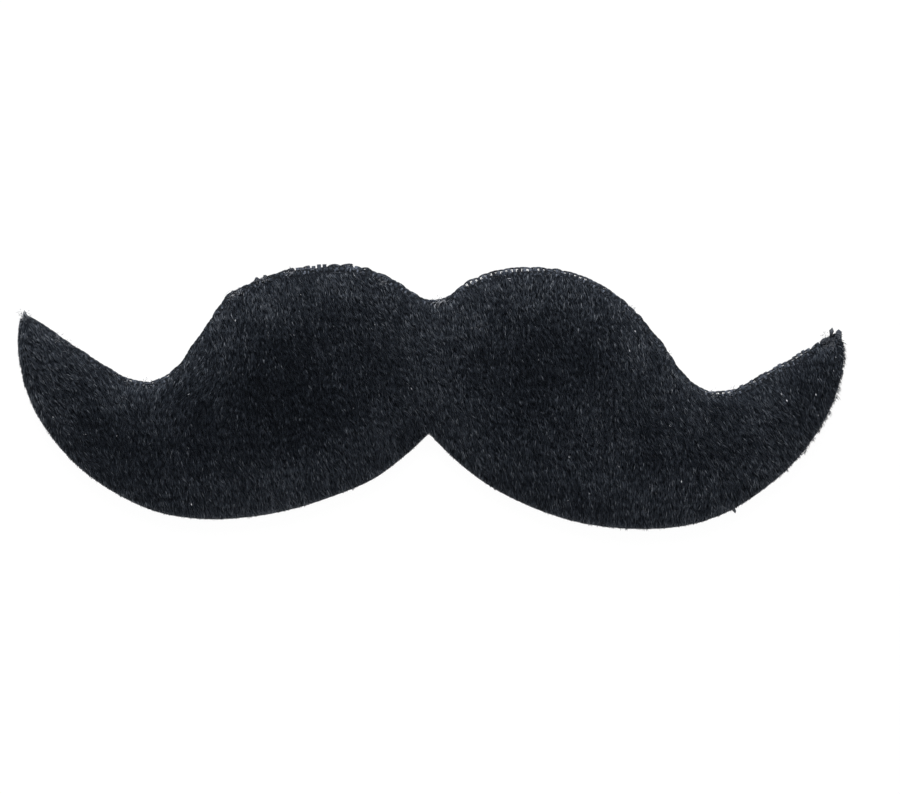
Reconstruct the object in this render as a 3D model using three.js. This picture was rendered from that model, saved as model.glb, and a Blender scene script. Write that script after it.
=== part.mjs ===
// A padded plush moustache, lying on its back.
// The plush front is a low cushion with rolled edges. It sits on a knit backing whose cut edge stands out a
// little along the upper side, and a strip of double-sided tape on the back holds it to the lip.
// Millimetres, +Z up. +X runs to the right tip and +Y to the nose. The origin is the middle of the underside.
import * as THREE from "three";

// Thicknesses of the layers, from the surface it lies on upwards
const TAPE_THICK = 0.6;
const CLOTH_THICK = 1.0;
const LAYER_GAP = 0.1;

// The plush cushion: its height at the rim, how far the padding lifts the middle, and how wide the edge rolls
const RIM_HEIGHT = 0.7;
const PAD_LIFT = 4.8;
const EDGE_ROLL = 12;
const BROAD_ROLL = 22;
const BROAD_SHARE = 0.25;

// How far the backing stands out along the upper edge, and the pile hangs over it along the lower one
const UPPER_RIM = 1.3;
const LOWER_OVERHANG = 0.8;

// The tape: length, width and where its middle lies, a little below the moustache's
const TAPE_LENGTH = 80;
const TAPE_WIDTH = 8;
const TAPE_Y = -0.8;

// Steps between two ribs of the table, steps across a rib, and how far a curve's handles reach along its chord
const STEPS_BETWEEN_RIBS = 6;
const STEPS_ACROSS = 12;
const HANDLE_SHARE = 0.36;

// Ribs across the moustache from the left tip to the right one. Each ends on the upper and on the lower edge:
// x and y of that end, and the heading of the edge there in degrees, walking to the right.
// Where an edge has a corner, leave is its heading after the corner.
const RIBS = [
  { at: "left tip", upper: { x: -68.5, y: 13.8, heading: -24 }, lower: { x: -69.6, y: 13.1, heading: -101 } },
  { at: "left point", upper: { x: -61.3, y: 9.2, heading: -32 }, lower: { x: -69.7, y: 5.8, heading: -81 } },
  { at: "left tail", upper: { x: -54.5, y: 4.8, heading: -30 }, lower: { x: -65.5, y: -5.2, heading: -56 } },
  { at: "left valley", upper: { x: -48.1, y: 2.5, heading: 0 }, lower: { x: -54.5, y: -15.8, heading: -31 } },
  { at: "left slope", upper: { x: -39.3, y: 10.4, heading: 54 }, lower: { x: -42.7, y: -20.4, heading: -8 } },
  {
    at: "left shoulder",
    upper: { x: -34.4, y: 17.5, heading: 54, leave: 27 },
    lower: { x: -33.4, y: -20.7, heading: 4 },
  },
  { at: "left lobe", upper: { x: -16.8, y: 22.5, heading: 0 }, lower: { x: -16.8, y: -17, heading: 20 } },
  { at: "left of nose", upper: { x: -6.2, y: 19.8, heading: -28 }, lower: { x: -7.1, y: -12.2, heading: 38 } },
  {
    at: "middle",
    upper: { x: 0.4, y: 16.3, heading: 0 },
    lower: { x: -0.4, y: -6.3, heading: 46, leave: -47 },
  },
  { at: "right of nose", upper: { x: 6.1, y: 19.4, heading: 32 }, lower: { x: 6.1, y: -12.5, heading: -39 } },
  { at: "right lobe", upper: { x: 19.5, y: 21.8, heading: -3 }, lower: { x: 16.1, y: -18.4, heading: -24 } },
  { at: "right slope", upper: { x: 38.6, y: 9.8, heading: -53 }, lower: { x: 36.1, y: -22.5, heading: 0 } },
  { at: "right valley", upper: { x: 48.4, y: 0.8, heading: 0 }, lower: { x: 54.7, y: -16.9, heading: 36 } },
  { at: "right tail", upper: { x: 58.1, y: 4.9, heading: 28 }, lower: { x: 64.8, y: -7.2, heading: 56 } },
  { at: "right point", upper: { x: 64.8, y: 8.7, heading: 31 }, lower: { x: 69.3, y: 2.3, heading: 75 } },
  { at: "right tip", upper: { x: 68.4, y: 10.8, heading: 20 }, lower: { x: 69.9, y: 9.1, heading: 95 } },
];

/** The handle of an edge's curve at one end of a chord, reaching forwards or backwards along the heading. */
function handle(end, heading, reach) {
  const turn = THREE.MathUtils.degToRad(heading);
  return new THREE.Vector2(end.x + reach * Math.cos(turn), end.y + reach * Math.sin(turn));
}

/** One edge of the moustache, as points from the left tip to the right one. */
function edgePoints(side) {
  const points = [new THREE.Vector2(RIBS[0][side].x, RIBS[0][side].y)];
  for (let i = 1; i < RIBS.length; i += 1) {
    const from = RIBS[i - 1][side];
    const to = RIBS[i][side];
    const reach = HANDLE_SHARE * Math.hypot(to.x - from.x, to.y - from.y);
    const stretch = new THREE.CubicBezierCurve(
      new THREE.Vector2(from.x, from.y),
      handle(from, from.leave ?? from.heading, reach),
      handle(to, to.heading, -reach),
      new THREE.Vector2(to.x, to.y),
    );
    points.push(...stretch.getPoints(STEPS_BETWEEN_RIBS).slice(1));
  }
  return points;
}

/** The point that lies a distance in from one end of a rib, and never past a quarter of it. */
function inFrom(end, far, distance) {
  const length = end.distanceTo(far);
  return end.clone().lerp(far, Math.min(distance / length, 0.25));
}

/** A sheet of ribs, each drawn in from the outline by its own distance at the lower and the upper edge. */
function ribsDrawnIn(lowerInset, upperInset) {
  const lower = edgePoints("lower");
  const upper = edgePoints("upper");
  return lower.map((low, i) => ({
    low: inFrom(low, upper[i], lowerInset),
    high: inFrom(upper[i], low, upperInset),
  }));
}

/** The ribs' outline as one closed ring. */
function ringOf(ribs) {
  return [...ribs.map((rib) => rib.low), ...ribs.map((rib) => rib.high).reverse()];
}

/** The distance from a point to the nearest side of a closed ring. */
function distanceToRing(point, ring) {
  let nearest = Infinity;
  ring.forEach((start, i) => {
    const side = ring[(i + 1) % ring.length].clone().sub(start);
    const along = point.clone().sub(start).dot(side) / Math.max(side.lengthSq(), 1e-9);
    const foot = start.clone().addScaledVector(side, THREE.MathUtils.clamp(along, 0, 1));
    nearest = Math.min(nearest, foot.distanceTo(point));
  });
  return nearest;
}

/** A quarter round that climbs from 0 at the edge to 1 at the given width. */
function roll(distance, width) {
  const left = 1 - Math.min(distance / width, 1);
  return Math.sqrt(1 - left * left);
}

/** The height of the plush at a distance from its edge: a firm rolled edge and a broad slow crown. */
function plushHeight(distance) {
  const edge = (1 - BROAD_SHARE) * roll(distance, EDGE_ROLL);
  const crown = BROAD_SHARE * roll(distance, BROAD_ROLL);
  return RIM_HEIGHT + PAD_LIFT * (edge + crown);
}

/** A closed solid over the ribs, from one level up to a height that may vary with the place. */
function solidOverRibs(ribs, stepsAcross, bottom, heightAt) {
  const block = new THREE.BoxGeometry(1, 1, 1, ribs.length - 1, stepsAcross, 1);
  const corners = block.getAttribute("position");
  for (let i = 0; i < corners.count; i += 1) {
    const rib = ribs[Math.round((corners.getX(i) + 0.5) * (ribs.length - 1))];
    const across = (1 - Math.cos(Math.PI * (corners.getY(i) + 0.5))) / 2;
    const place = rib.low.clone().lerp(rib.high, across);
    const level = corners.getZ(i) > 0 ? bottom + heightAt(place) : bottom;
    corners.setXYZ(i, place.x, place.y, level);
  }
  block.deleteAttribute("uv");
  block.computeVertexNormals();
  return block;
}

function named(name, geometry, material) {
  const mesh = new THREE.Mesh(geometry, material);
  mesh.name = name;
  return mesh;
}

/** The padded front: its pile hangs to the lower outline and leaves the backing's rim bare along the upper one. */
function plushFront() {
  const ribs = ribsDrawnIn(0, UPPER_RIM);
  const ring = ringOf(ribs);
  const bottom = TAPE_THICK + CLOTH_THICK + 2 * LAYER_GAP;
  const solid = solidOverRibs(ribs, STEPS_ACROSS, bottom, (place) => plushHeight(distanceToRing(place, ring)));
  const blackPile = new THREE.MeshStandardMaterial({ color: 0x1e2126, roughness: 0.95, metalness: 0 });
  return named("plush_front", solid, blackPile);
}

/** The knit backing: a flat sheet of cloth to the upper outline, hidden under the pile along the lower one. */
function knitBacking() {
  const bottom = TAPE_THICK + LAYER_GAP;
  const solid = solidOverRibs(ribsDrawnIn(LOWER_OVERHANG, 0), 1, bottom, () => CLOTH_THICK);
  const greyKnit = new THREE.MeshStandardMaterial({ color: 0x2b2d31, roughness: 0.9, metalness: 0 });
  return named("knit_backing", solid, greyKnit);
}

/** The tape: one plain strip that fits inside the waist of the moustache. */
function adhesiveStrip() {
  const strip = new THREE.BoxGeometry(TAPE_LENGTH, TAPE_WIDTH, TAPE_THICK);
  const paleLiner = new THREE.MeshStandardMaterial({ color: 0xe8e4d8, roughness: 0.6, metalness: 0 });
  const mesh = named("adhesive_strip", strip, paleLiner);
  mesh.position.set(0, TAPE_Y, TAPE_THICK / 2);
  return mesh;
}

const moustache = new THREE.Group();
moustache.name = "fake_moustache";
moustache.add(plushFront(), knitBacking(), adhesiveStrip());

export default moustache;
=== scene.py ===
"""A padded black plush moustache on a pale floor: pile, knit rim, backing and tape over its solids."""
import math

import bmesh
import bpy
import numpy as np
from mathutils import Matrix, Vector
from mathutils.bvhtree import BVHTree


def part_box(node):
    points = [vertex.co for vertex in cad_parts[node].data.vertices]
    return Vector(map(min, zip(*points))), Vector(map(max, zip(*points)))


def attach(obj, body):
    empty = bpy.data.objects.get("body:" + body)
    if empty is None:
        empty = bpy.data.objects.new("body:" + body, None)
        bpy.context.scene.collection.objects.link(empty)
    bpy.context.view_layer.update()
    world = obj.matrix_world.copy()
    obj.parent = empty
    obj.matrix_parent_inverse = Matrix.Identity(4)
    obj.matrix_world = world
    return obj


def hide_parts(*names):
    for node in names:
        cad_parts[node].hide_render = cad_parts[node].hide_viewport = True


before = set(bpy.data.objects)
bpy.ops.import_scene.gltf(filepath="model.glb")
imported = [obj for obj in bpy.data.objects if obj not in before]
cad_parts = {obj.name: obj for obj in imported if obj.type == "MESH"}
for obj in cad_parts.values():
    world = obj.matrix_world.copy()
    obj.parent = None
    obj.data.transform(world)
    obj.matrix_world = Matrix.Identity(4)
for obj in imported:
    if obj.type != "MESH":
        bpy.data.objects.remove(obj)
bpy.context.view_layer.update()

MM = 0.001
BODY = "root"
dice = np.random.default_rng(29)

# The photograph's frame in pixels, the pixel of the moustache's middle, and a pixel's size on the moustache
PHOTO_WIDTH = 900
PHOTO_HEIGHT = 794
MIDDLE_PIXEL_X = 431.3
MIDDLE_PIXEL_Y = 396.5
PIXEL = 0.16929 * MM

# The camera's long lens and its sensor, in millimetres, and half the floor's width and how far down it lies
LENS = 180
SENSOR = 36
FLOOR_HALF = 3
FLOOR_DROP = 0.05 * MM

# How far along from its ends the moustache narrows to its tips
TIP_REACH = 8 * MM

# The cushion under the pile: its share of the plush's height, how far the pile hangs out past its lower
# edge and how far in the cushion is drawn back for that, how far the filling may push it out, and the
# scale, length and force of the simulation that does
GROUND_SHARE = 0.75
LOWER_HANG = 0.06 * MM
HANG_DEPTH = 2 * MM
CUSHION_SWELL = 0.35 * MM
CLOTH_SCALE = 20
CLOTH_FRAMES = 20
CLOTH_PRESSURE = 4

# The ragged outer edge of the right tail: the x where it starts, how far on it is ragged in full, how far
# the cushion is drawn in there, how far the pile is cut in at places, and how much further it hangs out
RAGGED_FROM = 58 * MM
RAGGED_BLEND = 5 * MM
RAGGED_INSET = 0.12 * MM
RAGGED_CUT = 0.24 * MM
RAGGED_HANG = 0.18 * MM

# The pile: spacing of its tufts along a row and between rows, how unevenly they stand, how far they keep in
# from the outline, how unevenly they end at the bare rim, the strands in a tuft, how far these spread and
# keep in, how deep the pile is where it is thinnest, and the number of pieces that it is split into
TUFT_PITCH = 0.40 * MM
ROW_PITCH = 0.50 * MM
TUFT_JITTER = (0.16 * MM, 0.12 * MM)
TUFT_INSET = 0.1 * MM
TUFT_WAVER = 0.15 * MM
STRANDS_IN_TUFT = 6
TUFT_SPREAD = 0.22 * MM
ROOT_INSET = 0.08 * MM
LEAST_PILE = 0.2 * MM
SWATHES = 5

# A strand: its thickness, how far it leans over at the edges and on the crown, and how deep the edges go in
STRAND_RADIUS = 0.047 * MM
EDGE_LEAN = 1.4 * MM
CROWN_LEAN = 1.05 * MM
LEAN_DEPTH = 12 * MM

# Shares of these, each with an average, a spread, a least and a most: how far a tuft leans, how far a
# strand in it does, how high that rises in the pile, and how thick it is
TUFT_REACH = (1, 0.15, 0.6, 1.4)
STRAND_REACH = (0.95, 0.12, 0.5, 1.25)
STRAND_RISE = (0.85, 0.14, 0.4, 1.1)
STRAND_THICK = (1, 0.18, 0.6, 1.5)

# How the lean turns about by swirls, ruffles, tufts and strands, in radians, how strongly it fans out over
# the lower edge and how far in, and the share by which the strands of a tuft may draw together
SWIRL_TURN = 0.08
RUFFLE_TURN = 0.12
TUFT_TURN = 0.14
STRAND_TURN = 0.18
FAN_OUT = 1.2
FAN_DEPTH = 1.2 * MM
TUFT_DRAW = 0.25

# The pile's shade, from 0 for black to 1 for pale: its level at the edges, how much painted shade darkens
# the crown, how much painted light makes the outermost tufts and the slope under the upper edge paler, how
# far in these and the painted light and shade of the tufts beside the bare rim reach, and what a strand adds
# at its
# root, bend and tip: painted shade at the root and painted light at the tip anywhere, more painted light
# near the outline
PILE_SHADE = 0.5
PAINTED_CROWN_SHADE = 0.11
PAINTED_EDGE_LIGHT = 0.03
PAINTED_EDGE_LIGHT_DEPTH = 0.6 * MM
PAINTED_RIM_LIGHT_DEPTH = 0.8 * MM
PAINTED_SLOPE_LIGHT = 0.06
PAINTED_SLOPE_LIGHT_FROM = 2 * MM
PAINTED_SLOPE_LIGHT_TO = 7 * MM
PAINTED_ROOT_SHADE_TIP_LIGHT = np.array([-0.14, -0.02, 0.05])
PAINTED_OUTLINE_LIGHT = np.array([0, 0.07, 0.14])
PAINTED_OUTLINE_DEPTH = 0.4 * MM

# How far the shade varies: by painted shadow lines between the courses of the knit, their spacing and how
# they waver, by streaks across, by patches, clouds and tufts, by combed lines and how far they run each way,
# and by strands, with a few paler ones as painted glints
PAINTED_COURSE_SHADOW = 0.045
COURSE_PITCH = 1.76 * MM
COURSE_WAVER = 0.15 * MM
STREAK_SHADE = 0.012
PATCH_SHADE = 0.02
CLOUD_SHADE = 0.015
TUFT_SHADE = 0.02
LINE_SHADE = 0.15
LINE_RUN = 1.2 * MM
STRAND_SHADE = 0.172
PAINTED_GLINT_SHADE = 0.06

# How the nap is combed: x and y in millimetres, and degrees off straight down, plus to the right
COMBING = {
    "left tip": (-66, 9, 40),
    "left tail's upper edge": (-60, 7, 54),
    "left tail": (-57, -2, 32),
    "under the left valley": (-48, -10, 22),
    "left slope": (-43, 2, -26),
    "left shoulder": (-31, 12, 6),
    "left lobe": (-18, 18, 24),
    "left belly": (-22, -2, 18),
    "left lower belly": (-34, -14, 18),
    "left of the nose": (-6, 15, 28),
    "under the nose": (3, 2, 18),
    "right lobe": (18, 15, 8),
    "right belly": (25, -6, 10),
    "right slope": (38, 2, 16),
    "under the right valley": (48, -6, 34),
    "right lower belly": (42, -16, 2),
    "right tail": (57, -1, 34),
    "right tip": (66, 4, 4),
}
COMB_BLEND = 5 * MM

# Painted sheen and shade on the nap, paler or darker at places: x, y and how far that spreads, in
# millimetres, and by how much
PAINTED_SHEEN = {
    "left lobe's shoulder": (-26.5, 16.6, 3.1, 0.12),
    "left lobe's top": (-15.5, 20.0, 3, 0.07),
    "left belly": (-27, -1, 7, -0.09),
    "left slope's foot": (-40, -2, 5, -0.1),
    "left tail's foot": (-53, -10.5, 5.5, -0.12),
    "left lower edge": (-27, -18.4, 4, 0.05),
    "left of the mouth": (-19, -13.5, 4, 0.04),
    "bridge under the nose": (-1.5, 2, 6, 0.09),
    "over the mouth": (-3.5, -5.5, 4, -0.06),
    "right of the mouth": (14, -16.5, 3, -0.08),
    "right lobe's top": (15, 20, 4, 0.06),
    "right belly": (27, -6.5, 6, 0.09),
    "right lower edge": (23, -16.5, 4, -0.06),
    "right lower belly": (43, -15, 5, 0.04),
    "right valley": (48.5, -0.5, 3.5, -0.13),
    "right tail": (55.5, -5, 3.5, 0.06),
    "right point": (63.5, 3.5, 4, -0.12),
}

# The knit rim: spacing of its stitches, how far they run back over the cloth, how far the cloth is cut back
# where they stand free, the thickness of a stitch and of the yarn along the edge, how far in that yarn lies
# and how far it bows out between stitches, and the points along each yarn
STITCH_PITCH = 0.92 * MM
STITCH_LENGTH = 1.3 * MM
CLOTH_BACK = 0.68 * MM
STITCH_RADIUS = 0.33 * MM
YARN_RADIUS = 0.165 * MM
YARN_INSET = 0.03 * MM
YARN_BOW = 0.07 * MM
RIM_STEPS = 8

# How unevenly the stitches lie in and out, up and down, and how unevenly whole and frayed ones end, how much
# further frayed ones reach and how much thicker they are, and how far in the filling of a gap ends
STITCH_WOBBLE = 0.08 * MM
STITCH_LIFT = 0.1 * MM
WHOLE_UNEVEN = 0.03 * MM
FRAYED_UNEVEN = 0.08 * MM
FRAYED_REACH = 0.1 * MM
FRAYED_THICK = 1.12
GAP_INSET = 0.04 * MM

# Two rows of knots behind the edge: how far in each lies, half their length, and how unevenly they lie
# along the edge and across it
OUTER_KNOTS = 0.85 * MM
INNER_KNOTS = 1.3 * MM
KNOT_HALF = 0.3 * MM
KNOT_SHIFT = (0.1 * MM, 0.08 * MM)

# The least and most radius of a knot, and of the thread that is left in an open eye, in millimetres
KNOT_RADIUS = (0.12, 0.22)
EYE_RADIUS = (0.02, 0.1)

# Shades of the rim's yarns, each with how far it varies: stitches, the yarn along the edge, and both rows of
# knots. Then how far the shade varies along a yarn
STITCH_SHADE = (0.55, 0.16)
YARN_SHADE = (0.4, 0.12)
OUTER_KNOT_SHADE = (0.58, 0.22)
INNER_KNOT_SHADE = (0.5, 0.2)
ALONG_SHADE = 0.1

# The upper edge by its stretches, each up to an x in millimetres: the shares of the gaps between stitches
# that are open eyes and that are cut open, how far the stitches stand out past the yarn and how far in the
# pile starts, both in millimetres, and how much painted light makes the pile paler where it starts, with
# painted shade where that is negative
RIM = [
    {"at": "left tail", "to": -52, "eyes": 0.12, "cut": 0, "bump": 0, "pile": 0.35, "painted_light": 0.2},
    {"at": "left valley", "to": -44, "eyes": 0.4, "cut": 0, "bump": 0.05, "pile": 0.8, "painted_light": -0.02},
    {"at": "left slope", "to": -34.5, "eyes": 0.03, "cut": 0, "bump": 0, "pile": 0.4, "painted_light": 0.13},
    {"at": "left shoulder", "to": -25, "eyes": 0.05, "cut": 0.05, "bump": 0, "pile": 0.9, "painted_light": 0},
    {"at": "left lobe's notch", "to": -23.4, "eyes": 0.2, "cut": 0.7, "bump": 0, "pile": 1.1, "painted_light": 0},
    {"at": "left lobe's rise", "to": -21.5, "eyes": 0.15, "cut": 0.1, "bump": 0, "pile": 1.2, "painted_light": 0},
    {"at": "left lobe's teeth", "to": -16.8, "eyes": 0, "cut": 1, "bump": 0.05, "pile": 1.3, "painted_light": 0},
    {"at": "left lobe's top", "to": -14.4, "eyes": 0, "cut": 0, "bump": 0.05, "pile": 1.4, "painted_light": -0.06},
    {"at": "left lobe's break", "to": -12.4, "eyes": 0.1, "cut": 0.9, "bump": -0.2, "pile": 1.2, "painted_light": 0},
    {"at": "left lobe's fall", "to": -3, "eyes": 0.25, "cut": 0.05, "bump": 0, "pile": 0.9, "painted_light": 0.02},
    {"at": "nose", "to": 5.4, "eyes": 0.1, "cut": 0, "bump": 0, "pile": 0.6, "painted_light": 0.08},
    {"at": "right lobe", "to": 19, "eyes": 0.9, "cut": 0, "bump": 0, "pile": 0.85, "painted_light": -0.08},
    {"at": "right lobe's fall", "to": 30, "eyes": 0.5, "cut": 0, "bump": 0, "pile": 0.85, "painted_light": -0.08},
    {"at": "right slope", "to": 45, "eyes": 0.12, "cut": 0, "bump": 0, "pile": 0.6, "painted_light": 0.12},
    {"at": "right valley", "to": 52, "eyes": 0.4, "cut": 0, "bump": 0.05, "pile": 0.8, "painted_light": 0.06},
    {"at": "right tail", "to": 63.8, "eyes": 0.45, "cut": 0, "bump": 0.3, "pile": 0.8, "painted_light": -0.02},
    {"at": "right tail's end", "to": 66.2, "eyes": 0, "cut": 0.4, "bump": 0, "pile": 0.8, "painted_light": -0.02},
    {"at": "right tip", "to": 70, "eyes": 0, "cut": 1, "bump": -0.6, "pile": 1.6, "painted_light": 0},
]

# Lumps at the cut edge, the rolls of the flap of cloth folded over at the right tip and knots of yarn
# elsewhere: thickness, shade, and path from a place through a bend to an end, in millimetres
LUMPS = {
    "flap's outer fold": (0.95, 0.38, [(65.9, 8.7), (66.6, 9.55), (68.6, 9.7)]),
    "flap's inner fold": (0.7, 0.3, [(66.5, 8.0), (67.3, 8.7), (69.2, 9.0)]),
    "flap's point": (1.1, 0.48, [(68.9, 8.4), (68.95, 9.9), (68.95, 11.4)]),
    "kink": (0.6, 0.4, [(-34.1, 17.0), (-33.7, 17.6), (-33.4, 17.9)]),
    "right of the kink": (0.85, 0.45, [(-32.6, 17.2), (-32.3, 17.9), (-32.1, 18.5)]),
    "left shoulder": (0.75, 0.4, [(-29.9, 19.2), (-29.6, 19.7), (-29.4, 20.2)]),
    "left lobe's foot": (0.9, 0.45, [(-28.5, 19.4), (-28.2, 20.0), (-28.0, 20.6)]),
    "left valley": (0.4, 0.6, [(-46.4, 2.3), (-46.2, 2.7), (-46.0, 3.1)]),
    "left lobe's fall": (0.7, 0.55, [(-9.2, 19.8), (-8.9, 20.3), (-8.7, 20.7)]),
}

# The notch in the cloth's edge beside the flap: where it is, its width and its depth
NOTCH_X = 65.4 * MM
NOTCH_WIDTH = 0.7 * MM
NOTCH_DEPTH = 0.15 * MM

# Specks scattered over the pile: how many, how far in from the outline, and the least and most of their
# length and radius in millimetres and of their paleness before it is squared
SPECKS = 40
SPECK_INSET = 1.5 * MM
SPECK_LENGTH = (0.2, 0.5)
SPECK_RADIUS = (0.03, 0.045)
SPECK_SHADE = (0.3, 1)

# Fuzz in the rim: how many fibres, how far in they start at least and at most, how long they are, how far
# up they lie at most, all in millimetres, their thickness, and how pale they are
RIM_FUZZ = 1200
FUZZ_INSET = (0.1, 1.2)
FUZZ_LENGTH = 0.25
FUZZ_LIFT = 0.2
FUZZ_RADIUS = 0.035 * MM
FUZZ_SHADE = 0.075

# The fibres of a wisp: their length, how far up they lie at least and at most, both in millimetres, their
# thickness, and the least and most share of the wisp's paleness
WISP_LENGTH = 0.3
WISP_LIFT = (-0.3, 0.15)
WISP_RADIUS = 0.04 * MM
WISP_SHADE = (0.3, 1.6)

# The length and thickness of the palest specks, and how far up these and other loose fibres lie on the pile
GLINT_LENGTH = 0.45 * MM
GLINT_RADIUS = 0.085 * MM
SPECK_LIFT = 0.03 * MM
THREAD_LIFT = 0.05 * MM

# The palest specks on the pile: x and y in millimetres, and how pale they are
GLINTS = {
    "left lower belly": (-40.4, -18.2, 0.9),
    "left shoulder": (-33.0, 12.8, 0.55),
    "under the nose": (-3.3, 1.3, 0.55),
    "right belly": (23.2, -10.2, 0.4),
    "right slope": (34.4, 11.0, 0.75),
    "below the right slope": (33.4, 7.7, 0.6),
    "right lower belly": (42.1, -14.3, 0.85),
    "right tail": (59.9, -0.7, 1.0),
    "right tail's upper half": (59.0, 0.4, 0.6),
    "right point": (64.8, 0.3, 0.9),
}

# Threads and spurs that stand out near the edges: thickness, how pale they are, and path from a place
# through a bend to an end, in millimetres
THREADS = {
    "left tip": (0.6, 0.04, [(-67.9, 12.8), (-68.6, 13.7), (-68.9, 14.7)]),
    "left of the left tip": (0.55, 0.06, [(-68.9, 12.6), (-69.05, 13.6), (-68.95, 14.5)]),
    "kink": (0.08, 0.6, [(-35.6, 16.4), (-34.2, 17.9), (-32.2, 18.0)]),
    "under the kink": (0.08, 0.5, [(-34.6, 16.6), (-33.6, 17.2), (-33.0, 16.6)]),
    "before the teeth": (0.4, 0.0, [(-24.3, 20.7), (-23.9, 21.4), (-23.9, 22.1)]),
    "left lobe's seam": (0.1, 0.03, [(-18.6, 20.75), (-16.0, 20.95), (-13.3, 20.85)]),
    "left lobe's hair": (0.05, 0.8, [(-13.4, 21.2), (-13.0, 20.5), (-12.6, 19.9)]),
    "right tip's spur": (1.0, 0.0, [(67.5, 9.7), (67.8, 11.1), (67.85, 11.7)]),
    "lower right spur": (0.8, 0.0, [(50.9, -18.0), (51.3, -19.2), (51.45, -19.8)]),
}

# Wisps of short fibre: x, y and how far they spread, in millimetres, how many fibres, and how pale
WISPS = {
    "left tip": (-68.9, 13.6, 0.4, 90, 0.12),
    "left tail's glint": (-63.3, 10.0, 0.35, 30, 0.25),
    "left tail's edge": (-61.1, 8.3, 0.5, 30, 0.12),
    "kink": (-33.6, 17.3, 0.3, 26, 0.3),
    "right of the kink": (-32.3, 17.8, 0.25, 40, 0.22),
    "left shoulder": (-29.6, 19.6, 0.2, 24, 0.2),
    "left lobe's foot": (-28.2, 19.8, 0.25, 30, 0.3),
    "left valley": (-48.0, 2.2, 0.5, 30, 0.25),
    "left valley's left": (-51.4, 2.7, 0.3, 16, 0.2),
    "left lobe's notch": (-24.0, 20.8, 0.3, 16, 0.5),
    "left lobe's fall": (-9.0, 19.8, 0.35, 20, 0.12),
    "below the fall": (-7.9, 19.2, 0.35, 24, 0.16),
    "nose": (1.1, 16.0, 0.35, 44, 0.45),
    "right of the nose": (2.3, 16.2, 0.25, 18, 0.25),
    "right lobe's left glint": (12.9, 19.9, 0.2, 6, 0.5),
    "right lobe's right glint": (19.9, 20.6, 0.2, 6, 0.4),
    "right slope": (33.4, 15.0, 0.5, 30, 0.14),
    "foot of the right slope": (40.2, 7.0, 0.25, 14, 0.2),
    "right valley": (47.8, 0.4, 0.5, 30, 0.2),
    "right of the valley": (51.0, 0.9, 0.35, 20, 0.2),
    "flap": (67.2, 9.3, 0.6, 240, 0.06),
    "right tip": (69.1, 10.5, 0.25, 40, 0.14),
}

# The step of the square grid that distances, heights and random values are kept on, and its margin
GRID_STEP = 0.25 * MM
GRID_MARGIN = 3 * MM


def new_piece(name, mesh, material):
    """A mesh as a piece of the moustache."""
    piece = bpy.data.objects.new(name, mesh)
    bpy.context.scene.collection.objects.link(piece)
    mesh.materials.append(material)
    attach(piece, BODY)
    return piece


def merged_copy(node):
    """A bmesh copy of a solid, with its loose triangles joined."""
    shape = bmesh.new()
    shape.from_mesh(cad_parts[node].data)
    bmesh.ops.remove_doubles(shape, verts=shape.verts, dist=1e-7)
    return shape


def mesh_of(shape, name):
    """A bmesh made a mesh."""
    mesh = bpy.data.meshes.new(name)
    shape.to_mesh(mesh)
    shape.free()
    return mesh


def shift(shape, move_x, move_y):
    """Moves each corner of a bmesh in plan."""
    for corner, x, y in zip(shape.verts, move_x, move_y):
        corner.co.x += x
        corner.co.y += y


def underside_ring(node):
    """The outline of a solid's flat underside, as an array of points in order round it."""
    shape = merged_copy(node)
    under = {f for f in shape.faces if f.normal.z < -0.99}
    rim = [e for f in under for e in f.edges if any(g not in under for g in e.link_faces)]
    neighbours = {}
    for edge in rim:
        for corner in edge.verts:
            neighbours.setdefault(corner, []).append(edge.other_vert(corner))
    start = rim[0].verts[0]
    ring = [start]
    step = neighbours[start][0]
    while step is not start:
        ring.append(step)
        one, other = neighbours[step]
        step = one if other is ring[-2] else other
    points = np.array([corner.co.xy for corner in ring])
    shape.free()
    return points


def halves(ring):
    """A ring's upper and lower edge, each from the left tip to the right one."""
    left_end = np.where(ring[:, 0] < ring[:, 0].min() + TIP_REACH, ring[:, 1], -1)
    right_end = np.where(ring[:, 0] > ring[:, 0].max() - TIP_REACH, ring[:, 1], -1)
    ring = np.roll(ring, -int(left_end.argmax()), axis=0)
    right_end = np.roll(right_end, -int(left_end.argmax()))
    turn = int(right_end.argmax())
    first = ring[: turn + 1]
    second = np.concatenate([ring[turn:], ring[:1]])[::-1]
    return (first, second) if first[:, 1].mean() > second[:, 1].mean() else (second, first)


upper_edge = halves(underside_ring("knit_backing"))[0]
lower_edge = halves(underside_ring("plush_front"))[1]
silhouette = np.concatenate([upper_edge, lower_edge[::-1]])

# The grid's low corner, its numbers of points, and the place of each point
GRID_LOW = silhouette.min(0) - GRID_MARGIN
GRID_SHAPE = np.ceil((np.ptp(silhouette, axis=0) + 2 * GRID_MARGIN) / GRID_STEP).astype(int) + 1
GRID_X = GRID_LOW[0] + GRID_STEP * np.arange(GRID_SHAPE[0])[:, None] + np.zeros(GRID_SHAPE)
GRID_Y = GRID_LOW[1] + GRID_STEP * np.arange(GRID_SHAPE[1])[None, :] + np.zeros(GRID_SHAPE)


def blended(values, column, row, ease=False):
    """Values between the points of a grid, by column and row, eased from point to point or not."""
    i = column.astype(int)
    j = row.astype(int)
    u = column - i
    v = row - j
    if ease:
        u = u * u * (3 - 2 * u)
        v = v * v * (3 - 2 * v)
    low = values[i, j] * (1 - u) + values[i + 1, j] * u
    high = values[i, j + 1] * (1 - u) + values[i + 1, j + 1] * u
    return low * (1 - v) + high * v


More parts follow.
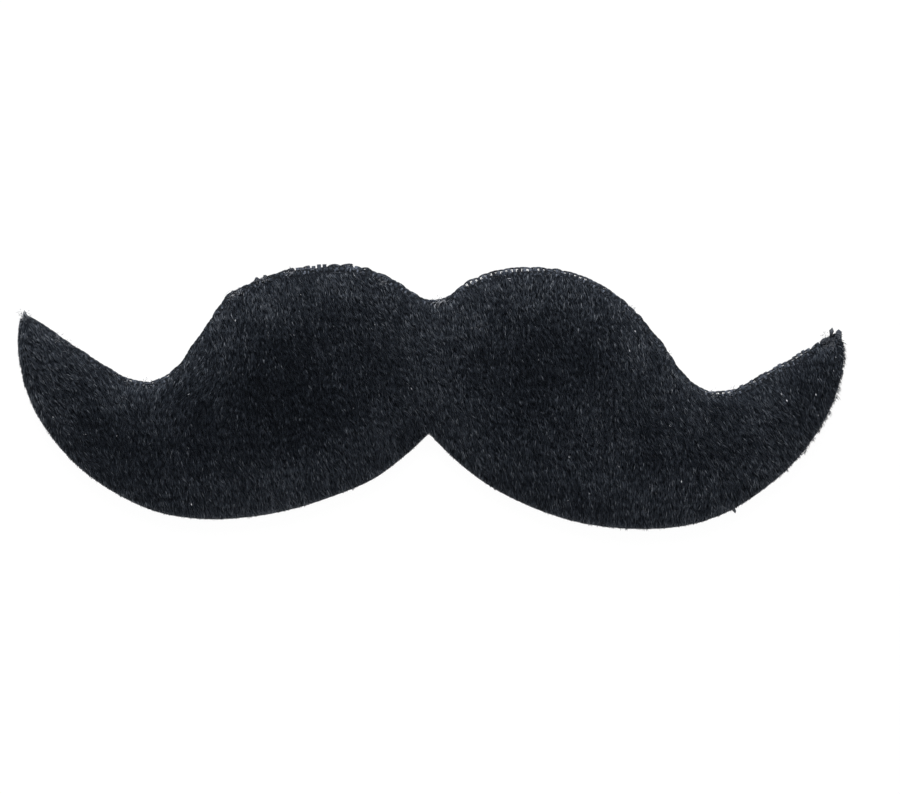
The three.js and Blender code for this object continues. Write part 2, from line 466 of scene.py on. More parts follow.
class Field:
    """Values on the square grid, read smoothly between its points."""

    def __init__(self, values):
        self.values = values

    def at(self, x, y):
        """The values at places."""
        column = np.clip((x - GRID_LOW[0]) / GRID_STEP, 0, GRID_SHAPE[0] - 1.001)
        row = np.clip((y - GRID_LOW[1]) / GRID_STEP, 0, GRID_SHAPE[1] - 1.001)
        return blended(self.values, column, row)

    def slope(self, x, y):
        """The way in which the values rise fastest, as unit vectors."""
        rise_x = self.at(x + GRID_STEP, y) - self.at(x - GRID_STEP, y)
        rise_y = self.at(x, y + GRID_STEP) - self.at(x, y - GRID_STEP)
        size = np.maximum(np.hypot(rise_x, rise_y), 1e-12)
        return rise_x / size, rise_y / size


def distance_to(line):
    """Distance of each grid point to a line of points."""
    nearest = np.full(GRID_SHAPE, np.inf)
    for start, end in zip(line[:-1], line[1:]):
        side = end - start
        along = ((GRID_X - start[0]) * side[0] + (GRID_Y - start[1]) * side[1]) / max(side @ side, 1e-15)
        along = np.clip(along, 0, 1)
        gap = np.hypot(GRID_X - start[0] - along * side[0], GRID_Y - start[1] - along * side[1])
        nearest = np.minimum(nearest, gap)
    return nearest


def inside(ring):
    """True at the grid points inside a closed ring, by counting the sides that lie to their right."""
    found = np.zeros(GRID_SHAPE, bool)
    for start, end in zip(ring, np.roll(ring, -1, axis=0)):
        spans = (start[1] > GRID_Y) != (end[1] > GRID_Y)
        rise = end[1] - start[1] if end[1] != start[1] else 1e-12
        found ^= spans & (GRID_X < start[0] + (GRID_Y - start[1]) * (end[0] - start[0]) / rise)
    return found


def heights_of(shape, bare):
    """The top of a bmesh over each grid point, and the bare level where there is none."""
    tree = BVHTree.FromBMesh(shape)
    down = Vector((0, 0, -1))
    highest = np.full(GRID_X.size, bare)
    for i, (x, y) in enumerate(zip(GRID_X.ravel(), GRID_Y.ravel())):
        hit = tree.ray_cast(Vector((x, y, 1)), down)[0]
        if hit is not None:
            highest[i] = hit.z
    return highest.reshape(GRID_SHAPE)


def wandering(scale, stretch=1):
    """Smooth random values about 0, that change over the given distance, or a longer one along x."""
    size = np.ceil(GRID_SHAPE * GRID_STEP / (scale * stretch, scale)).astype(int) + 2
    coarse = dice.normal(size=size)
    column = (GRID_X - GRID_LOW[0]) / scale / stretch
    row = (GRID_Y - GRID_LOW[1]) / scale
    return Field(blended(coarse, column, row, ease=True))


to_outline = distance_to(np.concatenate([silhouette, silhouette[:1]]))
depth = Field(np.where(inside(silhouette), 1, -1) * to_outline)
below_upper = Field(distance_to(upper_edge))
above_lower = Field(distance_to(lower_edge))


def principled(name, roughness, specular=0.5):
    """A material of a roughness and a gloss, its node tree, and its shader."""
    material = bpy.data.materials.new(name)
    material.use_nodes = True
    tree = material.node_tree
    shader = tree.nodes["Principled BSDF"]
    shader.inputs["Roughness"].default_value = roughness
    shader.inputs["Specular IOR Level"].default_value = specular
    return material, tree, shader


def colour_by(tree, shader, source, stops):
    """Colours a shader by a socket, through (place, colour) stops."""
    node = tree.nodes.new("ShaderNodeValToRGB")
    points = node.color_ramp.elements
    while len(points) < len(stops):
        points.new(0.5)
    for point, (place, colour) in zip(points, stops):
        point.position = place
        point.color = (*colour, 1)
    tree.links.new(source, node.inputs["Fac"])
    tree.links.new(node.outputs["Color"], shader.inputs["Base Color"])


def pattern(tree, kind, scale):
    """A texture of a kind, laid out on the piece's own coordinates."""
    place = tree.nodes.new("ShaderNodeTexCoord")
    texture = tree.nodes.new(kind)
    texture.inputs["Scale"].default_value = scale
    tree.links.new(place.outputs["Object"], texture.inputs["Vector"])
    return texture


def emboss(tree, shader, height, strength, distance):
    """Relief on a shader, fed from a socket of heights."""
    relief = tree.nodes.new("ShaderNodeBump")
    relief.inputs["Strength"].default_value = strength
    relief.inputs["Distance"].default_value = distance
    tree.links.new(height, relief.inputs["Height"])
    tree.links.new(relief.outputs["Normal"], shader.inputs["Normal"])


def colour_by_shade(tree, shader, stops):
    """Colours a shader by the shade that each strand of the mesh keeps, through stops."""
    shade = tree.nodes.new("ShaderNodeAttribute")
    shade.attribute_name = "shade"
    colour_by(tree, shader, shade.outputs["Fac"], stops)


def pile_black():
    """Black pile: each strand keeps its own shade, with painted shade darker at the root."""
    material, tree, shader = principled("pile_black", roughness=0.5, specular=0.06)
    stops = [
        (0.0, (0.0012, 0.0018, 0.0030)),
        (0.25, (0.0050, 0.0068, 0.0102)),
        (0.5, (0.0172, 0.0216, 0.0292)),
        (0.75, (0.0555, 0.0640, 0.0790)),
        (1.0, (0.1750, 0.1900, 0.2130)),
    ]
    colour_by_shade(tree, shader, stops)
    return material


def yarn_black():
    """The rim's yarn: dark grey, matt and a little hairy."""
    material, tree, shader = principled("yarn_black", roughness=0.7, specular=0.3)
    stops = [(0.15, (0.003, 0.0045, 0.0075)), (0.5, (0.0145, 0.0195, 0.029)), (0.85, (0.085, 0.098, 0.125))]
    colour_by_shade(tree, shader, stops)
    fuzz = pattern(tree, "ShaderNodeTexNoise", 6000)
    emboss(tree, shader, fuzz.outputs["Fac"], 0.6, 0.06 * MM)
    return material


def lint_pale():
    """Pale lint: each fibre keeps its own shade of grey."""
    material, tree, shader = principled("lint_pale", roughness=0.6)
    colour_by_shade(tree, shader, [(0.0, (0.016, 0.0205, 0.029)), (1.0, (0.78, 0.8, 0.86))])
    return material


def ground_black():
    """The cloth at the roots of the pile, black and matt."""
    material, tree, shader = principled("ground_black", roughness=0.9, specular=0.1)
    weave = pattern(tree, "ShaderNodeTexNoise", 1500)
    stops = [(0.3, (0.0024, 0.0034, 0.0054)), (0.7, (0.006, 0.008, 0.0115))]
    colour_by(tree, shader, weave.outputs["Fac"], stops)
    return material


def knit_dark():
    """The knit backing: dark yarn, ribbed both ways by its stitches."""
    material, tree, shader = principled("knit_dark", roughness=0.85, specular=0.2)
    both = tree.nodes.new("ShaderNodeMath")
    both.operation = "MULTIPLY"
    for direction, waver, socket in zip("XY", (0.6, 0.8), both.inputs):
        ribs = pattern(tree, "ShaderNodeTexWave", math.pi / 10 / STITCH_PITCH)
        ribs.bands_direction = direction
        ribs.inputs["Distortion"].default_value = waver
        tree.links.new(ribs.outputs["Fac"], socket)
    stops = [(0.0, (0.005, 0.0067, 0.0095)), (1.0, (0.028, 0.0355, 0.048))]
    colour_by(tree, shader, both.outputs["Value"], stops)
    emboss(tree, shader, both.outputs["Value"], 0.7, 0.2 * MM)
    return material


def liner_pale():
    """The tape's pale release liner, smooth paper with a faint mottle."""
    material, tree, shader = principled("liner_pale", roughness=0.55)
    mottle = pattern(tree, "ShaderNodeTexNoise", 900)
    mottle.inputs["Detail"].default_value = 6
    stops = [(0.3, (0.72, 0.69, 0.60)), (0.7, (0.80, 0.77, 0.69))]
    colour_by(tree, shader, mottle.outputs["Fac"], stops)
    emboss(tree, shader, mottle.outputs["Fac"], 0.2, 0.05 * MM)
    return material


def swell(piece, level):
    """Blows a cushion up as cloth over its filling, with its flat underside held."""
    mesh = piece.data
    flat = [v.index for v in mesh.vertices if v.co.z < level + 0.1 * MM]
    rest = np.array([v.co for v in mesh.vertices])
    for corner in mesh.vertices:
        corner.co *= CLOTH_SCALE
    held = piece.vertex_groups.new(name="held")
    held.add(flat, 1, "REPLACE")
    cloth = piece.modifiers.new("cloth", "CLOTH")
    cloth.settings.use_pressure = True
    cloth.settings.uniform_pressure_force = CLOTH_PRESSURE
    cloth.settings.vertex_group_mass = "held"
    cloth.settings.effector_weights.gravity = 0
    cloth.point_cache.frame_end = CLOTH_FRAMES
    for step in range(1, CLOTH_FRAMES + 1):
        bpy.context.scene.frame_set(step)
    blown = piece.evaluated_get(bpy.context.evaluated_depsgraph_get()).to_mesh()
    moved = np.array([v.co for v in blown.vertices]) / CLOTH_SCALE - rest
    piece.modifiers.remove(cloth)
    piece.vertex_groups.remove(held)
    bpy.context.scene.frame_set(1)
    size = np.maximum(np.linalg.norm(moved, axis=1, keepdims=True), 1e-12)
    moved *= np.minimum(1, CUSHION_SWELL / size)
    mesh.vertices.foreach_set("co", (rest + moved).ravel())
    mesh.update()


def raggedness(x):
    """How ragged the outer edge is at an x: 0 up to the right tail, and 1 well along it."""
    return np.clip((x - RAGGED_FROM) / RAGGED_BLEND, 0, 1)


def make_cushion():
    """The padded cloth that the pile grows on: the plush solid, pressed down by the pile's depth."""
    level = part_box("plush_front")[0].z
    shape = merged_copy("plush_front")
    for corner in shape.verts:
        corner.co.z = level + GROUND_SHARE * (corner.co.z - level)
    x, y = np.array([corner.co.xy for corner in shape.verts]).T
    in_x, in_y = depth.slope(x, y)
    hang = LOWER_HANG + RAGGED_INSET * raggedness(x)
    drawn = hang * np.clip(1 - above_lower.at(x, y) / HANG_DEPTH, 0, 1)
    shift(shape, drawn * in_x, drawn * in_y)
    bmesh.ops.subdivide_edges(shape, edges=shape.edges[:], cuts=1, use_grid_fill=True)
    mesh = mesh_of(shape, "plush_ground")
    mesh.shade_smooth()
    piece = new_piece("plush_ground", mesh, ground_black())
    swell(piece, level)
    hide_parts("plush_front")


def tops():
    """Fields of the cushion's top and of the plush solid's top."""
    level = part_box("knit_backing")[1].z
    cushion = bmesh.new()
    cushion.from_mesh(bpy.data.objects["plush_ground"].data)
    solid = merged_copy("plush_front")
    found = Field(heights_of(cushion, level)), Field(heights_of(solid, level + 0.5 * MM))
    cushion.free()
    solid.free()
    return found


def unit(vectors):
    """Vectors brought to a length of 1."""
    return vectors / np.maximum(np.linalg.norm(vectors, axis=-1, keepdims=True), 1e-12)


def strand_faces(rings, sides):
    """The faces of one closed strand, by the numbers of its points: one, then rings of them, then one."""
    last = 1 + (rings - 1) * sides
    faces = [[1 + (k + 1) % sides, 1 + k, 0] for k in range(sides)]
    for j in range(rings - 1):
        for k in range(sides):
            a = 1 + j * sides + k
            b = 1 + j * sides + (k + 1) % sides
            faces.append([a, b, b + sides, a + sides])
    return faces + [[last + k, last + (k + 1) % sides, last + sides] for k in range(sides)]


def strand_mesh(name, paths, radius, shade, sides=3):
    """Closed strands joined in one mesh, each along its path and pointed at both ends.
    Each strand has its own cell in the mesh's map, and a shade at each point of its path."""
    count, steps = paths.shape[:2]
    rings = steps - 2
    along = unit(np.gradient(paths, axis=1))
    side = unit(np.cross(along, unit(dice.normal(size=(count, 1, 3)) * 0.3 + (0, 0, 1))))
    over = np.cross(along, side)
    points = np.zeros((count, rings * sides + 2, 3))
    cell = np.zeros((rings * sides + 2, 2))
    for k in range(sides):
        turn = 2 * math.pi * k / sides
        spokes = radius[:, None, None] * (side * math.cos(turn) + over * math.sin(turn))
        points[:, 1 + k : -1 : sides] = (paths + spokes)[:, 1:-1]
        cell[1 + k : -1 : sides, 0] = 0.1 + 0.8 * k / (sides - 1)
        cell[1 + k : -1 : sides, 1] = np.linspace(0, 1, steps)[1:-1]
    points[:, 0] = paths[:, 0]
    points[:, -1] = paths[:, -1]
    cell[0] = (0.5, 0.05)
    cell[-1] = (0.5, 0.95)
    faces = strand_faces(rings, sides)
    corners = np.concatenate([np.array(face) for face in faces])
    sizes = np.array([len(face) for face in faces])
    starts = np.cumsum(sizes) - sizes
    strand = np.arange(count)[:, None]
    mesh = bpy.data.meshes.new(name)
    mesh.vertices.add(count * len(cell))
    mesh.loops.add(count * len(corners))
    mesh.polygons.add(count * len(sizes))
    mesh.vertices.foreach_set("co", points.ravel())
    mesh.loops.foreach_set("vertex_index", (corners + len(cell) * strand).ravel())
    mesh.polygons.foreach_set("loop_start", (starts + len(corners) * strand).ravel())
    mesh.update(calc_edges=True)
    mesh.shade_smooth()
    across = math.ceil(math.sqrt(count))
    places = (cell[corners][None] + np.stack([strand % across, strand // across], axis=-1)) / across
    mesh.uv_layers.new(name="OFBake").data.foreach_set("uv", places.ravel())
    shades = np.repeat(shade, [1] + [sides] * rings + [1], axis=1)
    mesh.attributes.new("shade", "FLOAT", "POINT").data.foreach_set("value", shades.ravel())
    return mesh


def end_room(x, y):
    """How far along from the nearer tip a place is, from a tenth at the tip up to 1 well inside."""
    left = np.hypot(x - upper_edge[0, 0], y - upper_edge[0, 1])
    right = np.hypot(x - upper_edge[-1, 0], y - upper_edge[-1, 1])
    return np.clip(np.minimum(left, right) / TIP_REACH, 0.1, 1)


def rim_value(key, x):
    """A value of the rim's stretches at places along it, eased a little from one stretch to the next."""
    ends = [MM * stretch["to"] for stretch in RIM[:-1]]
    values = np.array([stretch[key] for stretch in RIM])
    return np.mean([values[np.searchsorted(ends, x + aside * MM)] for aside in (-0.5, 0, 0.5)], axis=0)


def nap(x, y):
    """The way that the nap lies, seen from above: blended from the nearest places of the combing."""
    total = np.zeros((len(x), 2))
    for at_x, at_y, degrees in COMBING.values():
        near = (x - at_x * MM) ** 2 + (y - at_y * MM) ** 2 + COMB_BLEND**2
        turn = math.radians(degrees)
        total += near[:, None] ** -2 * np.array([math.sin(turn), -math.cos(turn)])
    return unit(total)


def painted_sheen(x, y):
    """Painted sheen and shade on the nap: how much paler or darker it is at places."""
    total = np.zeros(len(x))
    for at_x, at_y, spread, shade in PAINTED_SHEEN.values():
        away = ((x - at_x * MM) ** 2 + (y - at_y * MM) ** 2) / (spread * MM) ** 2
        total += shade * np.exp(-away / 1.5)
    return total


def turned(ways, angles):
    """Plan directions turned by angles, to the left."""
    cos = np.cos(angles)
    sin = np.sin(angles)
    return np.stack([ways[:, 0] * cos - ways[:, 1] * sin, ways[:, 0] * sin + ways[:, 1] * cos], axis=-1)


def varied(average, spread, least, most, count):
    """Random shares about an average, kept between a least and a most."""
    return np.clip(dice.normal(average, spread, count), least, most)


def pulled_in(points, margin):
    """Points moved in from the outline until they are a margin inside it."""
    short = np.maximum(margin - depth.at(points[:, 0], points[:, 1]), 0)
    return points + short[:, None] * np.stack(depth.slope(points[:, 0], points[:, 1]), axis=-1)


def cut_short(starts, runs, spill):
    """The ends of runs from their starts, cut short where they would spill too far past the outline."""
    least = np.zeros(len(starts))
    most = np.ones(len(starts))
    share = most
    for _ in range(9):
        ends = starts + runs * share[:, None]
        out = depth.at(ends[:, 0], ends[:, 1]) < -spill
        least = np.where(out, least, share)
        most = np.where(out, share, most)
        share = (least + most) / 2
    return starts + runs * least[:, None]


def pile_unevenness():
    """Random fields that make the pile uneven, by name."""
    return {
        "swirl": wandering(7 * MM),
        "ruffle": wandering(1.6 * MM),
        "patches": wandering(3 * MM),
        "clouds": wandering(7 * MM),
        "streaks": wandering(0.8 * MM, stretch=7),
        "bare": wandering(5 * MM),
        "lines": Field(dice.normal(size=GRID_SHAPE)),
    }


def plant_tufts(uneven):
    """Places of the tufts: uneven rows over the plush, up to the bare rim."""
    columns = np.arange(silhouette[:, 0].min(), silhouette[:, 0].max(), TUFT_PITCH)
    rows = np.arange(silhouette[:, 1].min(), silhouette[:, 1].max(), ROW_PITCH)
    tufts = np.stack(np.meshgrid(columns, rows), axis=-1).reshape(-1, 2)
    tufts = tufts + dice.normal(size=tufts.shape) * TUFT_JITTER
    x, y = tufts.T
    rim = rim_value("pile", x) * MM + TUFT_WAVER * uneven["bare"].at(x, y)
    kept = (depth.at(x, y) > TUFT_INSET) & (below_upper.at(x, y) > rim * end_room(x, y))
    return tufts[kept]


def comb_tufts(tufts, uneven):
    """The way that each tuft leans: with the nap, and outwards over the lower edge."""
    x, y = tufts.T
    angles = SWIRL_TURN * uneven["swirl"].at(x, y) + RUFFLE_TURN * uneven["ruffle"].at(x, y)
    angles += TUFT_TURN * dice.normal(size=len(tufts))
    fan = FAN_OUT * np.exp(-((above_lower.at(x, y) / FAN_DEPTH) ** 2))
    return unit(turned(nap(x, y), angles) - fan[:, None] * np.stack(depth.slope(x, y), axis=-1))


def tuft_shades(tufts, uneven):
    """The shade of each tuft, by its place, with painted shade on the crown and painted light at the edges.
    """
    x, y = tufts.T
    below = below_upper.at(x, y)
    deep = np.clip(depth.at(x, y) / LEAN_DEPTH, 0, 1)
    course = np.cos(2 * math.pi * (y + COURSE_WAVER * uneven["swirl"].at(x, y)) / COURSE_PITCH)
    # Painted shade on the crown, and painted sheen and shade at places
    shade = PILE_SHADE - PAINTED_CROWN_SHADE * deep**2 + painted_sheen(x, y)
    # Painted light on the outermost tufts
    shade += PAINTED_EDGE_LIGHT * np.exp(-depth.at(x, y) / PAINTED_EDGE_LIGHT_DEPTH)
    # Painted light on the tufts beside the bare rim, painted shade where the rim's value is negative
    shade += rim_value("painted_light", x) * np.exp(-below / PAINTED_RIM_LIGHT_DEPTH)
    # Painted light on the slope under the upper edge
    shade += PAINTED_SLOPE_LIGHT * np.exp(-((below / PAINTED_SLOPE_LIGHT_TO) ** 4)) * (1 - np.exp(-below / PAINTED_SLOPE_LIGHT_FROM))
    # Painted shadow lines between the knit's courses, and streaks of random tone
    shade += PAINTED_COURSE_SHADOW * course + STREAK_SHADE * uneven["streaks"].at(x, y)
    shade += PATCH_SHADE * uneven["patches"].at(x, y) + CLOUD_SHADE * uneven["clouds"].at(x, y)
    return shade + TUFT_SHADE * dice.normal(size=len(tufts))


def strand_shades(of_tuft, roots, tips, uneven):
    """Shades of strands at root, bend and tip, from their tuft's, with painted root shade and tip light."""
    total = len(roots)
    near_edge = np.exp(-np.maximum(depth.at(*tips.T), 0) / PAINTED_OUTLINE_DEPTH)
    way = nap(*roots.T)
    trail = [uneven["lines"].at(*(roots + way * run).T) for run in np.linspace(-LINE_RUN, LINE_RUN, 9)]
    shade = of_tuft + LINE_SHADE * np.mean(trail, axis=0) + STRAND_SHADE * dice.normal(size=total)
    # A few paler strands: painted glints
    shade += PAINTED_GLINT_SHADE * (dice.exponential(size=total) - 1)
    # Painted shade at the root and painted light at the tip, with more painted light at tips near the
    # outline
    return np.clip(shade[:, None] + PAINTED_ROOT_SHADE_TIP_LIGHT + near_edge[:, None] * PAINTED_OUTLINE_LIGHT, 0, 1)


def raised(plan, share, ground, crown):
    """Plan points, raised by a share of the pile's depth there."""
    low = ground.at(*plan.T)
    room = np.maximum(crown.at(*plan.T) - low, LEAST_PILE)
    return np.column_stack([plan, low + share * room])


def make_pile(ground, crown):
    """The pile: tufts over the cushion, each a few strands that lean with the nap and draw together."""
    uneven = pile_unevenness()
    tufts = plant_tufts(uneven)
    count = len(tufts)
    way = comb_tufts(tufts, uneven)
    deep = np.clip(depth.at(*tufts.T) / LEAN_DEPTH, 0, 1)
    tuft_reach = EDGE_LEAN + (CROWN_LEAN - EDGE_LEAN) * deep
    tuft_reach *= varied(*TUFT_REACH, count)
    tuft_shade = tuft_shades(tufts, uneven)
    draw = dice.uniform(0, TUFT_DRAW, count)

    of_tuft = np.repeat(np.arange(count), STRANDS_IN_TUFT)
    total = len(of_tuft)
    off = dice.normal(size=(total, 2)) * TUFT_SPREAD
    roots = pulled_in(tufts[of_tuft] + off, ROOT_INSET)
    lean = turned(way[of_tuft], STRAND_TURN * dice.normal(size=total))
    reach = tuft_reach[of_tuft] * varied(*STRAND_REACH, total)
    ragged = raggedness(roots[:, 0])
    spill = (LOWER_HANG + RAGGED_HANG * ragged) * dice.exponential(size=count)[of_tuft]
    spill *= dice.uniform(0.5, 1.2, total)
    spill -= RAGGED_CUT * ragged * np.clip(0.9 * uneven["ruffle"].at(*roots.T) - 0.3, 0, 1.2)
    tips = cut_short(roots - off * draw[of_tuft][:, None], lean * reach[:, None], spill)
    bends = roots + 0.4 * (tips - roots)
    rise = varied(*STRAND_RISE, total)
    shares = [(roots, -0.1), (bends, 0.7 * rise), (tips, rise)]
    paths = np.stack([raised(plan, share, ground, crown) for plan, share in shares], axis=1)
    shade = strand_shades(tuft_shade[of_tuft], roots, tips, uneven)
    radius = STRAND_RADIUS * varied(*STRAND_THICK, total)

    material = pile_black()
    cuts = np.quantile(roots[:, 0], np.linspace(0, 1, SWATHES + 1)[1:-1])
    swathe = np.searchsorted(cuts, roots[:, 0])
    for k in range(SWATHES):
        part = swathe == k
        mesh = strand_mesh(f"pile_swathe_{k + 1}", paths[part], radius[part], shade[part])
        new_piece(mesh.name, mesh, material)


def make_backing():
    """The knit backing: the solid's sheet, cut back a little where the stitches of its edge stand free."""
    shape = merged_copy("knit_backing")
    x, y = np.array([corner.co.xy for corner in shape.verts]).T
    in_x, in_y = depth.slope(x, y)
    free = np.clip(1.5 * (rim_value("eyes", x) + rim_value("cut", x)), 0.2, 1)
    notch = NOTCH_DEPTH * np.exp(-(((x - NOTCH_X) / NOTCH_WIDTH) ** 2))
    back = np.where(below_upper.at(x, y) < 0.3 * MM, CLOTH_BACK * free * end_room(x, y) + notch, 0)
    shift(shape, back * in_x, back * in_y)
    mesh = mesh_of(shape, "backing_cloth")
    piece = new_piece("backing_cloth", mesh, knit_dark())
    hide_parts("knit_backing")


def rim_places():
    """Places of the stitches along the upper edge, with the way along it and the way out of it."""
    steps = np.linalg.norm(np.diff(upper_edge, axis=0), axis=1)
    length = np.concatenate([[0], np.cumsum(steps)])
    where = np.arange(STITCH_PITCH, length[-1] - STITCH_PITCH / 2, STITCH_PITCH)

    def point(at):
        return np.stack([np.interp(at, length, side) for side in upper_edge.T], axis=-1)

    along = unit(point(where + 0.7 * MM) - point(where - 0.7 * MM))
    return point(where), along, np.stack([-along[:, 1], along[:, 0]], axis=-1)


def at_levels(plan, levels):
    """Paths of points over a plan, each path at its own level."""
    return np.concatenate([plan, np.broadcast_to(levels[:, None, None], plan.shape[:2] + (1,))], axis=-1)


def stubs(feet, outward, reach, level):
    """Blunt yarns that run from the cloth out to a reach past the edge, as paths of points."""
    steps = np.sin(np.linspace(0, math.pi / 2, RIM_STEPS))
    run = -STITCH_LENGTH + (STITCH_LENGTH + reach)[:, None] * steps
    return at_levels(feet[:, None] + outward[:, None] * run[..., None], level)


def edge_yarns(places, outward, level):
    """Yarns from each stitch to the next along the edge, bowed out a little between them, as paths."""
    steps = np.linspace(-0.35, 1.35, RIM_STEPS)
    ahead = np.roll(places, -1, axis=0) - places
    bow = YARN_BOW * np.sin(math.pi * np.clip(steps, 0, 1)) - YARN_RADIUS - YARN_INSET
    plan = places[:, None] + ahead[:, None] * steps[:, None] + outward[:, None] * bow[:, None]
    return at_levels(plan, level)[:-1]


def knots(places, along, outward, run, level):
    """Short lumps of yarn that lie on the cloth behind the edge, as paths of points."""
    count = len(places)
    side = KNOT_SHIFT[0] * dice.normal(size=(count, 1))
    run = (run + KNOT_SHIFT[1] * dice.normal(size=(count, 1))) + KNOT_HALF * np.linspace(-1, 1, RIM_STEPS)
    plan = places[:, None] + along[:, None] * side[..., None] + outward[:, None] * run[..., None]
    return at_levels(plan, np.full(count, level))


def folds(level):
    """The lumps at the cut edge, as paths of points."""
    steps = np.linspace(0, 2, RIM_STEPS)
    plans = []
    for _, _, path in LUMPS.values():
        plans.append(np.column_stack([np.interp(steps, range(3), side) for side in zip(*path)]))
    return at_levels(np.array(plans) * MM, np.full(len(LUMPS), level))


def make_rim():
    """The cut edge of the knit: stitches that run out to it with a yarn along them. The gaps between
    stitches are filled, or open eyes, or open to the outside where the yarn is cut."""
    places, along, outward = rim_places()
    count = len(places)
    places = places + outward * STITCH_WOBBLE * dice.normal(size=(count, 1))
    x = places[:, 0]
    luck = dice.uniform(size=count)
    cut = luck < rim_value("cut", x)
    filled = luck > rim_value("cut", x) + rim_value("eyes", x)
    low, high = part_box("knit_backing")
    level = (low.z + high.z) / 2 + STITCH_LIFT * dice.normal(size=count)
    frayed = cut | np.roll(cut, 1)
    reach = rim_value("bump", x) * MM - YARN_RADIUS
    reach += np.where(frayed, FRAYED_UNEVEN, WHOLE_UNEVEN) * dice.normal(size=count)
    whole = ~cut
    between = places + along * STITCH_PITCH / 2
    short_reach = np.minimum(reach, -YARN_RADIUS) - GAP_INSET
    kinds = [
        (
            stubs(places, outward, reach + FRAYED_REACH * frayed, level),
            np.where(frayed, FRAYED_THICK, 1) * STITCH_RADIUS * dice.uniform(0.9, 1.1, count),
            dice.normal(*STITCH_SHADE, count),
        ),
        (
            stubs(between[whole], outward[whole], short_reach[whole], level[whole]),
            np.where(filled, STITCH_RADIUS, dice.uniform(*EYE_RADIUS, count) * MM)[whole],
            dice.normal(*STITCH_SHADE, count)[whole],
        ),
        (
            edge_yarns(places, outward, level)[whole[:-1]],
            np.full(whole[:-1].sum(), YARN_RADIUS),
            dice.normal(*YARN_SHADE, whole[:-1].sum()),
        ),
        (
            knots(between, along, outward, -OUTER_KNOTS, high.z),
            dice.uniform(*KNOT_RADIUS, count) * MM,
            dice.normal(*OUTER_KNOT_SHADE, count),
        ),
        (
            knots(places, along, outward, -INNER_KNOTS, high.z + 0.05 * MM),
            dice.uniform(*KNOT_RADIUS, count) * MM,
            dice.normal(*INNER_KNOT_SHADE, count),
        ),
        (
            folds(high.z + 0.1 * MM),
            np.array([thick / 2 * MM for thick, _, _ in LUMPS.values()]),
            np.array([shade for _, shade, _ in LUMPS.values()]),
        ),
    ]
    paths, radii, shades = (np.concatenate(parts) for parts in zip(*kinds))
    shades = np.clip(shades, 0.15, 0.9)[:, None] + ALONG_SHADE * dice.normal(size=(len(paths), RIM_STEPS))
    mesh = strand_mesh("rim_stitches", paths, radii, shades, sides=5)
    new_piece("rim_stitches", mesh, yarn_black())


def fibre(start, run):
    """The plan of a straight fibre, as three points."""
    return start + run * np.linspace(0, 1, 3)[:, None]


def specks(crown):
    """Fibres scattered over the pile, each as a path, a radius and a shade."""
    spots = dice.uniform(silhouette.min(0), silhouette.max(0), (20 * SPECKS, 2))
    spots = spots[depth.at(*spots.T) > SPECK_INSET][:SPECKS]
    way = turned(nap(*spots.T), 0.5 * dice.normal(size=len(spots)))
    for spot, lean in zip(spots, way):
        plan = fibre(spot, lean * dice.uniform(*SPECK_LENGTH) * MM)
        path = np.column_stack([plan, crown.at(*plan.T) + SPECK_LIFT])
        yield path, dice.uniform(*SPECK_RADIUS) * MM, dice.uniform(*SPECK_SHADE) ** 2


def glints(crown):
    """The palest specks, each as a path, a radius and a shade."""
    for x, y, shade in GLINTS.values():
        spot = np.array([[x, y]]) * MM
        run = nap(*spot.T) * GLINT_LENGTH
        plan = fibre(spot - run / 2, run)
        yield np.column_stack([plan, crown.at(*plan.T) + THREAD_LIFT]), GLINT_RADIUS, shade


def rim_fuzz(ground):
    """Short fibres in the rim, each as a path, a radius and a shade."""
    places, along, outward = rim_places()
    for pick in dice.integers(len(places), size=RIM_FUZZ):
        start = places[pick] - outward[pick] * dice.uniform(*FUZZ_INSET) * MM
        start = start + along[pick] * dice.normal() * STITCH_PITCH
        plan = fibre(start, dice.normal(size=2) * FUZZ_LENGTH * MM)
        path = np.column_stack([pulled_in(plan, 0), ground.at(*plan.T) + dice.uniform(0, FUZZ_LIFT) * MM])
        yield path, FUZZ_RADIUS, FUZZ_SHADE * dice.exponential()


def wisps(crown):
    """Fibres of the wisps, each as a path, a radius and a shade."""
    for x, y, spread, fibres, shade in WISPS.values():
        for _ in range(fibres):
            start = np.array([x, y]) * MM + dice.normal(size=2) * spread * MM
            plan = fibre(start, dice.normal(size=2) * WISP_LENGTH * MM)
            path = np.column_stack([plan, crown.at(*plan.T) + dice.uniform(*WISP_LIFT) * MM])
            yield path, WISP_RADIUS, shade * dice.uniform(*WISP_SHADE)


def threads(crown):
    """Threads and spurs, each as a path, a radius and a shade."""
    for thick, shade, path in THREADS.values():
        plan = np.array(path) * MM
        yield np.column_stack([plan, crown.at(*plan.T) + THREAD_LIFT]), thick / 2 * MM, shade


def make_lint(ground, crown):
    """Loose fibres: specks on the pile, fuzz and wisps in the rim, and a few threads."""
    fibres = [*specks(crown), *glints(crown), *rim_fuzz(ground), *wisps(crown), *threads(crown)]
    paths, radii, shades = zip(*fibres)
    shade = np.clip(shades, 0, 1)[:, None] + np.zeros(3)
    mesh = strand_mesh("pale_lint", np.array(paths), np.array(radii), shade)
    new_piece("pale_lint", mesh, lint_pale())


def make_tape():
    """The tape keeps its solid, in pale liner paper."""
    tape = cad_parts["adhesive_strip"]
    tape.data.materials.clear()
    tape.data.materials.append(liner_pale())


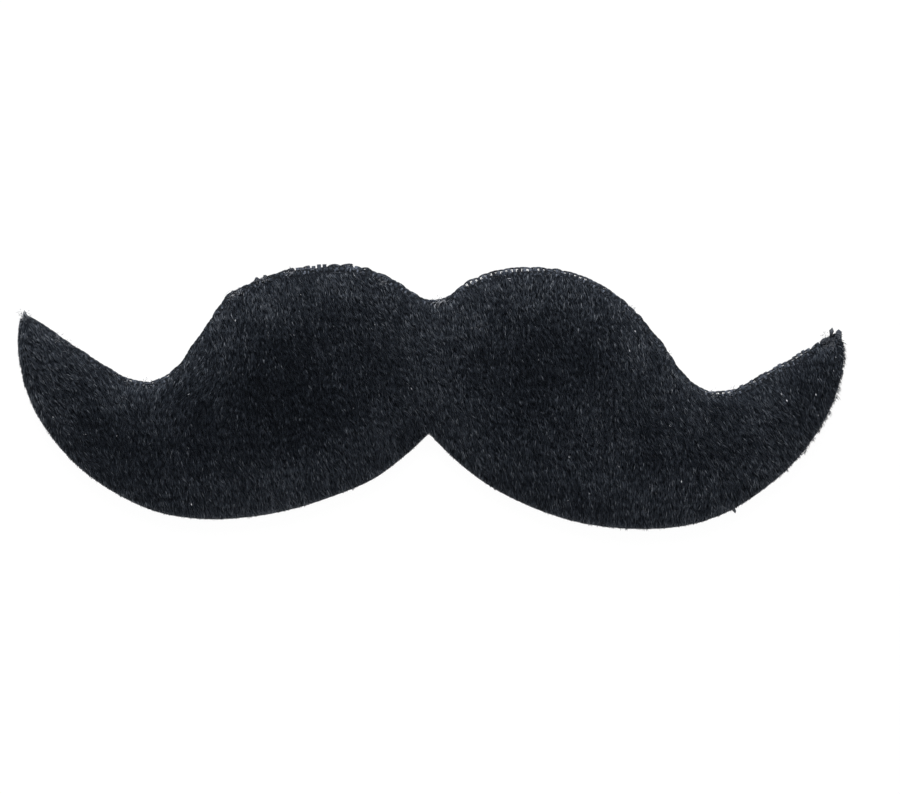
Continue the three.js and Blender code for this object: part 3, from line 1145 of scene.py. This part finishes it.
def make_floor():
    """A plain pale floor."""
    shape = bmesh.new()
    bmesh.ops.create_grid(shape, x_segments=1, y_segments=1, size=FLOOR_HALF)
    mesh = mesh_of(shape, "floor")
    floor = bpy.data.objects.new("floor", mesh)
    bpy.context.scene.collection.objects.link(floor)
    floor.location.z = -FLOOR_DROP
    material, _, shader = principled("floor_white", roughness=0.8, specular=0)
    shader.inputs["Base Color"].default_value = (0.04, 0.04, 0.04, 1)
    shader.inputs["Emission Color"].default_value = (1, 1, 1, 1)
    shader.inputs["Emission Strength"].default_value = 0.96
    mesh.materials.append(material)


def add_lamp(name, place, aim, size, power):
    """A soft square lamp that faces a point."""
    lamp = bpy.data.lights.new(name, "AREA")
    lamp.size = size
    lamp.energy = power
    holder = bpy.data.objects.new(name, lamp)
    bpy.context.scene.collection.objects.link(holder)
    holder.location = place
    holder.rotation_euler = (Vector(aim) - Vector(place)).to_track_quat("-Z", "Y").to_euler()


def set_light():
    """Soft studio light, stronger from the nose side."""
    world = bpy.data.worlds.new("studio")
    bpy.context.scene.world = world
    world.use_nodes = True
    world.node_tree.nodes["Background"].inputs["Color"].default_value = (1, 1, 1, 1)
    world.node_tree.nodes["Background"].inputs["Strength"].default_value = 0.85
    add_lamp("nose_side", place=(0, 0.6, 0.45), aim=(0, 0, 0), size=0.5, power=9)
    add_lamp("mouth_side", place=(0, -0.7, 0.35), aim=(0, 0, 0), size=0.6, power=1.2)
    bpy.context.scene.view_settings.view_transform = "Standard"


def set_camera():
    """A long lens straight above, framed as the photograph is."""
    lens = bpy.data.cameras.new("camera")
    lens.lens = LENS
    lens.sensor_width = SENSOR
    camera = bpy.data.objects.new("camera", lens)
    bpy.context.scene.collection.objects.link(camera)
    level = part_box("plush_front")[0].z
    width = PHOTO_WIDTH * PIXEL
    camera.location.x = (PHOTO_WIDTH / 2 - MIDDLE_PIXEL_X) * PIXEL
    camera.location.y = (MIDDLE_PIXEL_Y - PHOTO_HEIGHT / 2) * PIXEL
    camera.location.z = level + width * lens.lens / lens.sensor_width
    lens.clip_start = 0.05
    bpy.context.scene.camera = camera


set_camera()
make_floor()
set_light()
make_cushion()
ground, crown = tops()
make_pile(ground, crown)
make_backing()
make_rim()
make_lint(ground, crown)
make_tape()
